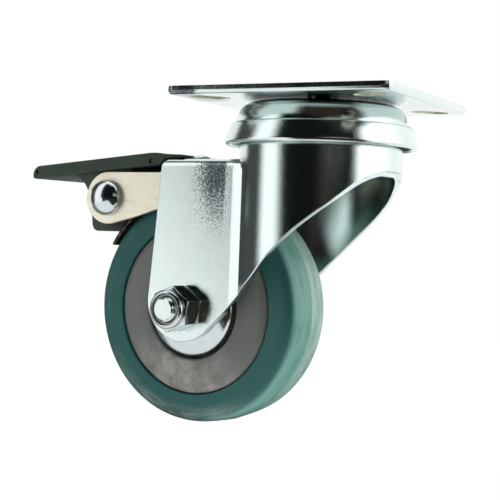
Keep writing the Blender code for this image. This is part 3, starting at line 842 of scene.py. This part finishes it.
def make_tyre(rubber):
    """Solid tyre: slightly peaked tread with a mould line, round shoulders and flat side walls."""
    half = [(TYRE_R, 0.0), (TYRE_R, 0.14), (TYRE_R - 0.12, 0.26)]
    half += spline([(TYRE_R - 0.16, 0.6), (TYRE_R - 0.3, 4.0), (TYRE_R - 0.55, 7.4)], 4)
    half += spline([(TYRE_R - 0.62, 8.3), (TYRE_R - 1.1, 9.9), (TYRE_R - 2.0, 10.9),
                    (TYRE_R - 3.4, TYRE_HALF)], 5)[1:]
    half += [(31.2, TYRE_HALF), (30.6, TYRE_HALF - 0.12), (30.2, TYRE_HALF - 0.12)]
    half += arc(RIM_R + GAP + 0.5, TYRE_HALF - 0.7, 0.5, 90, 180, 4)
    profile = half + [(r, -y) for r, y in reversed(half[1:])]
    bm = revolve(profile, ROUND * 2)
    nick_mould_line(bm)
    dress(mesh_object("tyre.fine", on_axle(bm)), rubber, "wheel")


def nick_mould_line(bm):
    """Leave only a ragged trace of the flash along the tread's middle."""
    for vert in bm.verts:
        reach = Vector((vert.co.x, vert.co.y, 0))
        if reach.length > TYRE_R - 0.05:
            ragged = noise.noise(reach * 0.9) + 0.5 * noise.noise(reach * 2.7)
            trim = 0.1 + 0.12 * max(-1.0, min(1.0, ragged))
            shorter = (TYRE_R - trim) / TYRE_R
            vert.co.x *= shorter
            vert.co.y *= shorter


def make_hub(nylon):
    """Moulded core with a bevelled rim, a flat face and a recess round the dust cap."""
    seat = BEARING_R + GAP
    face = [(RIM_R, 0.0), (RIM_R, 10.3), (RIM_R - 0.5, 11.0), (RIM_R - 1.9, HUB_HALF - 0.5)]
    face += [(RIM_R - 2.6, HUB_HALF - 0.35), (HUB_RECESS_R + 3.2, HUB_HALF)]
    face += [(HUB_RECESS_R + 0.5, HUB_HALF - 0.15), (HUB_RECESS_R, HUB_HALF - 0.7)]
    face += [(HUB_RECESS_R, GROOVE_FLOOR), (GROOVE_IN_R, GROOVE_FLOOR), (GROOVE_IN_R, 10.9)]
    face += [(seat, 10.9), (seat, 2.4), (9.0, 2.4), (9.0, 0.0)]
    half = rounded(face, 0.35, 3, closed=False)
    profile = half + [(r, -y) for r, y in reversed(half[1:-1])]
    turned("hub", profile, nylon, "wheel", lay=AXLE)


def make_bearing(side, label, steel):
    """One deep-groove bearing: outer ring, inner ring and caged balls."""
    mid = side * (BEARING_OUT_Y - BEARING_T / 2)
    start = mid - BEARING_T / 2
    end = mid + BEARING_T / 2
    groove = arc(BALL_PITCH_R, mid, 2.55, 35, -35, 8)
    outer = [(BEARING_R, start), (BEARING_R, end), (12.2, end)] + groove + [(12.2, start)]
    turned(f"bearing_outer_{label}", outer, steel, "wheel", SMALL * 2, lay=AXLE)
    groove = arc(BALL_PITCH_R, mid, 2.55, 145, 215, 8)
    inner = [(8.1, start)] + list(reversed(groove)) + [(8.1, end)]
    inner += [(SLEEVE_R + GAP, end), (SLEEVE_R + GAP, start)]
    turned(f"bearing_inner_{label}", inner, steel, "swivel_fork", SMALL, lay=AXLE)
    make_ball_row(f"bearing_balls_{label}", steel, f"{label}_ball_row", 7, 2.0, BALL_PITCH_R, mid, AXLE)


def make_dust_cap(side, label, chrome):
    """Pressed cover over the bearing: a skirt, a rolled rim and a shallow dome."""
    t = 0.7
    outer = [(CAP_R - 0.2, 11.2)] + arc(CAP_R - 1.7, 11.6, 1.7, 0, 68, 12)
    outer += spline([(13.4, 13.55), (12.0, 14.0), (10.0, 14.45), (7.2, 14.7)], 4)
    inner = [(7.2, 14.7 - t), (9.8, 14.4 - t), (12.2, 13.7 - t), (CAP_R - 1.2, 12.0), (CAP_R - 1.2, 11.2)]
    profile = [(r, -side * y) for r, y in outer + inner]
    turned(f"dust_cap_{label}", profile, chrome, "wheel", lay=AXLE)


def make_sleeve(steel):
    half = FORK_HALF - SHEET - GAP
    ring = [(SLEEVE_R, -half), (SLEEVE_R, half), (BOLT_R + GAP, half), (BOLT_R + GAP, -half)]
    turned("axle_sleeve", rounded(ring, 0.2, 2), steel, "swivel_fork", SMALL, lay=AXLE)


def chamfered_hexagon(flats, bottom, top):
    """A hexagon with its corners turned off at both ends."""
    corner = flats / math.sqrt(3)
    shape = mesh_object("hexagon", extrude(arc(0, 0, corner, 22, 322, 5), bottom, top))
    corner += 0.1
    inscribed = flats / 2 - 0.1
    drop = (corner - inscribed) * math.tan(math.radians(30))
    turn = [(0, bottom - 0.01), (inscribed, bottom - 0.01), (corner, bottom + drop)]
    turn += [(corner, top - drop), (inscribed, top + 0.01), (0, top + 0.01)]
    carve(shape, "INTERSECT", revolve(turn, SMALL * 2, closed=False))
    bm = bmesh.new()
    bm.from_mesh(shape.data)
    bm.transform(Matrix.Scale(1 / MM, 4))
    bpy.data.objects.remove(shape)
    return bm


def threaded_end(radius, start, end, pitch, depth):
    """A helical thread along Z from start to end, with a chamfered and slightly domed tip."""
    count = int((end - start) / pitch * 12)
    rows = []
    for i in range(count + 1):
        height = start + (end - start) * i / count
        row = []
        for s in range(SMALL):
            angle = 2 * math.pi * s / SMALL
            phase = (height / pitch + s / SMALL) % 1.0
            groove = depth * abs(2 * phase - 1)
            reach = min(radius - groove, radius - 0.9 + max(0.0, end - height))
            row.append((reach * math.cos(angle), reach * math.sin(angle), height))
        rows.append(row)
    return loft(rows)


def make_bolt(zinc):
    """Axle bolt: hexagon head on the far side, plain shank, threaded end on the near side."""
    head = FORK_HALF + GAP
    tip = -BOLT_TIP_Y
    bolt = mesh_object("axle_bolt.fine", on_axle(cylinder(BOLT_R, -head - 1.0, 16.0)))
    carve(bolt, "UNION", on_axle(chamfered_hexagon(NUT_FLATS, -HEAD_TIP_Y, -head)))
    carve(bolt, "UNION", on_axle(threaded_end(BOLT_R, 15.0, tip, 1.25, 0.6)))
    soften(bolt, 0.2, 50, 2)
    dress(bolt, zinc, "swivel_fork")


def make_nut(zinc, nylon):
    """Lock nut with a round collar that holds a nylon ring."""
    seat = FORK_HALF + GAP
    tip = -NUT_TIP_Y
    nut = mesh_object("lock_nut.fine", on_axle(chamfered_hexagon(NUT_FLATS, seat, 25.0)))
    collar = [(0, 24.0), (6.1, 24.0), (6.1, 25.4)] + arc(5.0, tip - 1.1, 1.1, 0, 90, 10) + [(0, tip)]
    carve(nut, "UNION", on_axle(revolve(collar, SMALL * 2, closed=False)))
    carve(nut, "DIFFERENCE", on_axle(cylinder(BOLT_R + GAP, 10.0, 30.0)))
    carve(nut, "DIFFERENCE", on_axle(cylinder(5.0, 25.2, 30.0)))
    soften(nut, 0.18, 35, 3)
    dress(nut, zinc, "swivel_fork")
    ring = [(BOLT_R + 0.15, 25.5), (4.85, 25.5), (4.85, 26.4), (BOLT_R + 0.15, 26.4)]
    turned("nut_insert", rounded(ring, 0.2, 2), nylon, "swivel_fork", SMALL, lay=AXLE)


# ---- brake

def cheek_outline():
    nose = arc(*PIVOT, CHEEK_END_R, 90, 290, 48)
    rear = spline([(PIVOT_X + CHEEK_END_R * math.cos(math.radians(290)),
                    PIVOT_Z + CHEEK_END_R * math.sin(math.radians(290))),
                   (-60.0, -39.4), (-50.5, -36.5), (-36.0, -33.0)], 6)[1:]
    rear += [(-33.5, -30.0), (-33.5, BRACKET_WEB_Z)]
    return nose + rear + [(-48.5, BRACKET_WEB_Z), (-50.5, -24.7)]


def make_bracket(passivated):
    """Channel that is riveted under the fork's web, with a cheek on each side of the pedal's hub."""
    bracket = mesh_object("brake_bracket.fine", side_prism(cheek_outline(), CHEEK_OUT))
    gap = CHEEK_OUT - CHEEK_T
    ceiling = BRACKET_WEB_Z - CHEEK_T
    under = [(-90.0, -50.0), (-20.0, -50.0), (-20.0, ceiling), (-48.0, ceiling), (-50.0, -26.5)]
    under += [(-60.5, -26.5), (-60.5, -15.0), (-90.0, -15.0)]
    carve(bracket, "DIFFERENCE", side_prism(under, gap))
    carve(bracket, "DIFFERENCE", across(cylinder(RIVET_R + 0.2, -20.0, 20.0), *PIVOT))
    drill_pair(bracket, RIVET_HOLE_R, WEB_RIVET_X, WEB_RIVET_Y)
    drill_pair(bracket, RIVET_HOLE_R - 0.1, HINGE_X, SHOE_RIVET_Y)
    soften(bracket, 0.3)
    dress(bracket, passivated, "swivel_fork", None)
    planes = [plane_surface(ALONG_AXLE, side * y) for side in (1, -1) for y in (CHEEK_OUT, gap)]
    true_normals(bracket, planes)


def rivet_profile(head_r, head_h, shank_r, top, bottom, tail_r, tail_h):
    """Domed head above, flat tail below."""
    profile = [(0, top + head_h)]
    profile += [(head_r * math.sin(a / 10), top + head_h * math.cos(a / 10)) for a in range(2, 16)]
    profile += [(head_r, top), (shank_r, top), (shank_r, bottom), (tail_r, bottom)]
    profile += [(tail_r, bottom - tail_h * 0.4), (tail_r * 0.8, bottom - tail_h), (0, bottom - tail_h)]
    return profile


def make_rivets(zinc):
    for side, label in ((-1, "near"), (1, "far")):
        for node, x, y, shape in (
                ("bracket_rivet", WEB_RIVET_X, WEB_RIVET_Y,
                 (3.0, 1.3, 1.6, FORK_WEB_Z + GAP, BRACKET_WEB_Z - CHEEK_T - GAP, 2.6, 0.8)),
                ("shoe_rivet", HINGE_X, SHOE_RIVET_Y, (2.6, 1.0, 1.5, -24.5, -28.5, 2.4, 0.8))):
            bm = move(revolve(rivet_profile(*shape), 48, closed=False), x, side * y)
            obj = mesh_object(f"{node}_{label}.fine", bm)
            dress(obj, zinc, "swivel_fork")


def make_pivot_pin(chrome):
    """Pin through both cheeks and the pedal's hub, with a domed head on each side."""
    seat = CHEEK_OUT + GAP
    rim = seat + 0.7
    rise = PIN_TIP - rim
    half = [(RIVET_HEAD_R - 0.15, seat), (RIVET_HEAD_R, seat + 0.15), (RIVET_HEAD_R, rim)]
    half += [(RIVET_HEAD_R * math.cos(a / 16), rim + rise * math.sin(a / 16)) for a in range(1, 25)]
    half += [(0, PIN_TIP)]
    profile = [(r, -y) for r, y in reversed(half)] + [(RIVET_R, -seat), (RIVET_R, seat)] + half
    turned("pivot_pin", profile, chrome, "swivel_fork", SMALL * 2, closed=False, lay=PIVOT)


def shoe_angle(radius, x):
    """Angle about the axle, in degrees, where the circle of that radius passes over x."""
    return math.degrees(math.acos((x - AXLE_X) / radius))


def make_shoe(spring):
    """Leaf of spring steel: riveted root, bend, and a curved end that follows the tread."""
    out_r = SHOE_IN_R + SHOE_T
    top = HINGE_Z + SHOE_T / 2
    outer = arc(*AXLE, out_r, shoe_angle(out_r, -61.0), 151, 24)
    inner = arc(*AXLE, SHOE_IN_R, 150.5, shoe_angle(SHOE_IN_R, -60.0), 24)
    root = [(-57.0, top - SHOE_T), (-50.0, top - SHOE_T), (-50.0, top), (-57.5, top)]
    shoe = mesh_object("brake_shoe.fine", side_prism(outer + inner + root, SHOE_HALF))
    drill_pair(shoe, RIVET_HOLE_R, HINGE_X, SHOE_RIVET_Y)
    soften(shoe, 0.2, 50, 2)
    dress(shoe, spring, "brake_leaf")


def reach_to_shoe(angle, radius):
    """Distance from the pivot to the circle about the axle, along a direction in degrees."""
    d = Vector((math.cos(math.radians(angle)), math.sin(math.radians(angle))))
    w = Vector((AXLE_X - PIVOT_X, AXLE_Z - PIVOT_Z))
    b = w.dot(d)
    rest = b * b - (w.length_squared - radius * radius)
    return b - math.sqrt(rest) if rest > 0 and b > 0 else 99.0


def cam_outline():
    """Cam face round the pivot: as large as the shoe allows both at rest and pressed."""
    out_r = SHOE_IN_R + SHOE_T
    points = []
    for angle in range(20, -89, -2):
        at_rest = reach_to_shoe(angle, out_r + 0.35)
        pressed = reach_to_shoe(angle + math.degrees(PEDAL_TRAVEL), out_r - SHOE_TRAVEL_MM + 0.35)
        reach = min(at_rest, pressed, 8.4 + 2.8 * max(0.0, min(1.0, (-angle - 54) / 12)))
        x = PIVOT_X + reach * math.cos(math.radians(angle))
        z = max(PIVOT_Z + reach * math.sin(math.radians(angle)), -44.4)
        points.append((x, z))
    return points


def pedal_under(x):
    """Height of the pedal's lower face."""
    return -27.3 + (x - PEDAL_TIP_X) * math.tan(PEDAL_SLOPE)


def make_pedal(moulding):
    """Rocker pedal: a tread plate with a rear lip over the fork, and a hub with a cam below."""
    top = PEDAL_T / math.cos(PEDAL_SLOPE)
    tip = [(PEDAL_TIP_X + 0.6, pedal_under(PEDAL_TIP_X)), (PEDAL_TIP_X, pedal_under(PEDAL_TIP_X) + 0.7)]
    tip += arc(PEDAL_TIP_X + 3.2, pedal_under(PEDAL_TIP_X + 3.2) + top - 3.2, 3.2, 180, 100, 14)
    rear = spline([(-56.0, pedal_under(-56.0) + top), (-54.0, pedal_under(-54.0) + top - 0.05),
                   (-51.5, -18.4), (-47.8, -18.75), (-41.6, -19.0)], 5)
    rear += [(-41.6, -20.0), (-48.6, -20.0), (-50.8, pedal_under(-50.8))]
    pedal = mesh_object("pedal.fine", side_prism(tip + rear, PEDAL_HALF))
    soften(pedal, 0.45, 50, 4)
    for x, z, radius in PEDAL_MARKS:
        for side in (1, -1):
            pin = cylinder(radius, side * PEDAL_HALF - MARK_DEPTH, side * PEDAL_HALF + MARK_DEPTH, 24)
            carve(pedal, "DIFFERENCE", across(pin, x, z))
    hub = [(-89.5, pedal_under(-89.5) + 1.5)]
    hub += arc(-89.0, -34.2, 8.6, 88, 12, 16)
    hub += [(-79.4, -36.0), (-78.6, -42.6), (-77.9, -43.9), (-76.6, -44.4)]
    hub += list(reversed(cam_outline()))
    hub += [(-62.6, -29.0), (-62.6, pedal_under(-62.6) + 1.5)]
    core = mesh_object("core", side_prism(hub, CHEEK_OUT - CHEEK_T - GAP))
    carve(core, "DIFFERENCE", across(cylinder(RIVET_R + GAP, -20.0, 20.0), *PIVOT))
    soften(core, 0.3, 50)
    unite(pedal, core)
    dress(pedal, moulding, "brake_pedal")


# ---- studio

CAMERA_AT = Vector((179.36, -347.04, -43.27))  # millimetres
CAMERA_AZIMUTH = math.radians(30.438)  # from -Y towards +X
CAMERA_ELEVATION = math.radians(0.792)
CAMERA_ROLL = math.radians(2.029)
CAMERA_LENS = 89.54
SENSOR = 36.0
FLOOR_Z = AXLE_Z - TYRE_R
FLOOR_R = 420.0
OPENING = (-28.3, 81)  # azimuths between which the tent is open, in degrees
BOX_GAP = (-100, -63)  # the gap between the soft box and the backdrop
WINDOW = (30, 62)  # a window in the dark room
SHELF = (24, 44)  # brown shelves in the dark room
WALL_BRIGHTNESS = 1.45
SIDES = ((80, 128, 0.35), (-200, -98, -0.35), (140, 200, -0.2))  # tent walls: azimuths, change
# Cards on the floor: name, start and end azimuth, inner and outer radius, colour, glow
CARDS = (("dark_card", -10, 84, 75.0, FLOOR_R, (0.045, 0.03, 0.02), 0.0),
         ("near_card", 84, 290, 4.0, 90.0, (0.2, 0.2, 0.2), 0.18),
         ("rear_card", 190, 290, 90.0, FLOOR_R, (0.16, 0.16, 0.16), 0.14))


def make_camera():
    a, e, roll = CAMERA_AZIMUTH, CAMERA_ELEVATION, CAMERA_ROLL
    back = Vector((math.sin(a) * math.cos(e), -math.cos(a) * math.cos(e), math.sin(e)))
    level = Vector((math.cos(a), math.sin(a), 0))
    upright = back.cross(level)
    right = level * math.cos(roll) + upright * math.sin(roll)
    up = upright * math.cos(roll) - level * math.sin(roll)
    data = bpy.data.cameras.new("camera")
    data.lens = CAMERA_LENS
    data.sensor_width = SENSOR
    data.clip_start = 0.01
    data.clip_end = 20.0
    camera = bpy.data.objects.new("camera", data)
    turn = Matrix((right, up, back)).transposed().to_4x4()
    camera.matrix_world = Matrix.Translation(CAMERA_AT * MM) @ turn
    bpy.context.scene.collection.objects.link(camera)
    bpy.context.scene.camera = camera


def studio_material(name, colour, glow):
    return start_material(name, 0.0, Base_Color=(*colour, 1.0), Roughness=0.9, Specular_IOR_Level=0.0,
                          Emission_Color=(1.0, 1.0, 1.0, 1.0), Emission_Strength=glow)[0]


def make_floor():
    """A pale table top under the wheel, and shading cards on it that the camera doesn't see."""
    bm = bmesh.new()
    bm.faces.new([bm.verts.new((x, y, FLOOR_Z - 0.05)) for x, y in arc(0, 0, FLOOR_R, 0, 360, 96)[:-1]])
    floor = mesh_object("floor", bm)
    if floor.data.polygons[0].normal.z < 0:
        floor.data.flip_normals()
    white = studio_material("white table", (0.2, 0.2, 0.2), 1.0)
    tree = white.node_tree
    behind = put(tree, "ShaderNodeNewGeometry").outputs["Backfacing"]
    clear = put(tree, "ShaderNodeBsdfTransparent").outputs[0]
    solid = tree.nodes["Principled BSDF"].outputs[0]
    mixed = put(tree, "ShaderNodeMixShader", {0: behind, 1: solid, 2: clear}).outputs[0]
    tree.links.new(mixed, tree.nodes["Material Output"].inputs["Surface"])
    floor.data.materials.append(white)
    for name, start, end, inner, outer, colour, glow in CARDS:
        plan = arc(0, 0, outer, start - 90, end - 90, 48) + arc(0, 0, inner, end - 90, start - 90, 48)
        card = mesh_object(name, extrude(plan, FLOOR_Z, FLOOR_Z + 0.3))
        card.data.materials.append(studio_material(name, colour, glow))
        card.visible_camera = False


def hump(tree, value, rise, fall):
    """1 between a rising and a falling ramp, each from a first to a second value, and 0 outside them."""
    up = spread(tree, value, *rise, 0.0, 1.0)
    down = spread(tree, value, *fall, 1.0, 0.0)
    return product(tree, up, down)


def direction_band(tree, azimuth, start, end, edge):
    """1 where the azimuth lies between start and end, in degrees, with soft edges."""
    ramps = [(math.radians(at - edge), math.radians(at + edge)) for at in (start, end)]
    return hump(tree, azimuth, *ramps)


def make_world():
    """A white tent that is open to a dark room behind the camera, with a gap beside its soft box."""
    world = bpy.data.worlds.new("studio")
    bpy.context.scene.world = world
    world.use_nodes = True
    tree = world.node_tree
    tree.nodes.clear()
    where = put(tree, "ShaderNodeTexCoord").outputs["Generated"]
    parts = put(tree, "ShaderNodeSeparateXYZ", {0: where}).outputs
    azimuth = maths(tree, "ARCTAN2", parts[0], product(tree, parts[1], -1.0))
    wider_above = spread(tree, parts[2], -0.012, 0.02, 0.0, math.radians(5.0))
    rough_edge = noise_of(tree, where, 45, 3, 0.7)
    ragged = spread(tree, rough_edge, 0.3, 0.7, math.radians(-1.6), math.radians(1.6))
    edge = maths(tree, "ADD", azimuth, maths(tree, "ADD", wider_above, ragged))
    opening = direction_band(tree, edge, *OPENING, 0.9)
    window = hump(tree, parts[2], (0.13, 0.18), (0.31, 0.36))
    window = product(tree, window, direction_band(tree, azimuth, *WINDOW, 5.0), 0.5)
    opening = maths(tree, "SUBTRACT", opening, window)
    gap = product(tree, direction_band(tree, azimuth, *BOX_GAP, 2.0), 0.93)
    overhead = spread(tree, parts[2], 0.86, 0.97, 1.0, 0.0)
    dark = product(tree, maths(tree, "MAXIMUM", opening, gap), overhead)
    bright = WALL_BRIGHTNESS
    for start, end, change in SIDES:
        side = direction_band(tree, azimuth, start, end, 6.0)
        bright = maths(tree, "ADD", bright, product(tree, side, change))
    shelf = direction_band(tree, azimuth, *SHELF, 5.0)
    below = hump(tree, parts[2], (-0.30, -0.2), (-0.10, -0.08))
    above = hump(tree, parts[2], (0.0, 0.012), (0.055, 0.07))
    level = maths(tree, "ADD", below, above)
    clutter = spread(tree, noise_of(tree, where, 22.0, 3, 0.6), 0.46, 0.6, 0.0, 1.0)
    warm = product(tree, shelf, level, clutter)
    room = blend_colours(tree, warm, (0.006, 0.008, 0.009), (0.16, 0.10, 0.055))
    colour = blend_colours(tree, dark, (1.0, 1.0, 1.0), room)
    white = maths(tree, "SUBTRACT", 1.0, dark)
    strength = maths(tree, "ADD", dark, product(tree, white, bright))
    lit = put(tree, "ShaderNodeBackground", {0: colour, 1: strength}).outputs[0]
    plain = put(tree, "ShaderNodeBackground", {0: (1, 1, 1, 1), 1: 1.0}).outputs[0]
    seen = put(tree, "ShaderNodeLightPath").outputs["Is Camera Ray"]
    mixed = put(tree, "ShaderNodeMixShader", {0: seen, 1: lit, 2: plain}).outputs[0]
    output = put(tree, "ShaderNodeOutputWorld", {0: mixed})
    output.is_active_output = True


def main():
    bpy.context.scene.view_settings.view_transform = "Standard"
    zinc = bright_zinc()
    chrome = bright_chrome()
    steel = bearing_steel()

    make_camera()
    make_floor()
    make_world()

    make_top_plate(zinc)
    make_king_pin(steel)
    make_upper_race(zinc)
    make_dust_ring(zinc)
    make_lower_race(zinc)
    make_ball_row("upper_balls", steel, "upper_ball_row", 18, 2.4, 20.6, -7.3)
    make_ball_row("lower_balls", steel, "lower_ball_row", 12, 1.9, 10.6, -15.1)

    make_fork(zinc)
    make_bracket(passivated_steel())
    make_rivets(zinc)
    make_pivot_pin(chrome)
    make_sleeve(steel)
    make_bolt(zinc)
    make_nut(chrome, white_nylon())

    make_tyre(green_rubber())
    make_hub(grey_nylon())
    for side, label in ((1, "near"), (-1, "far")):
        make_bearing(side, label, steel)
        make_dust_cap(-side, label, chrome)

    make_pedal(olive_moulding())
    make_shoe(spring_steel())


main()
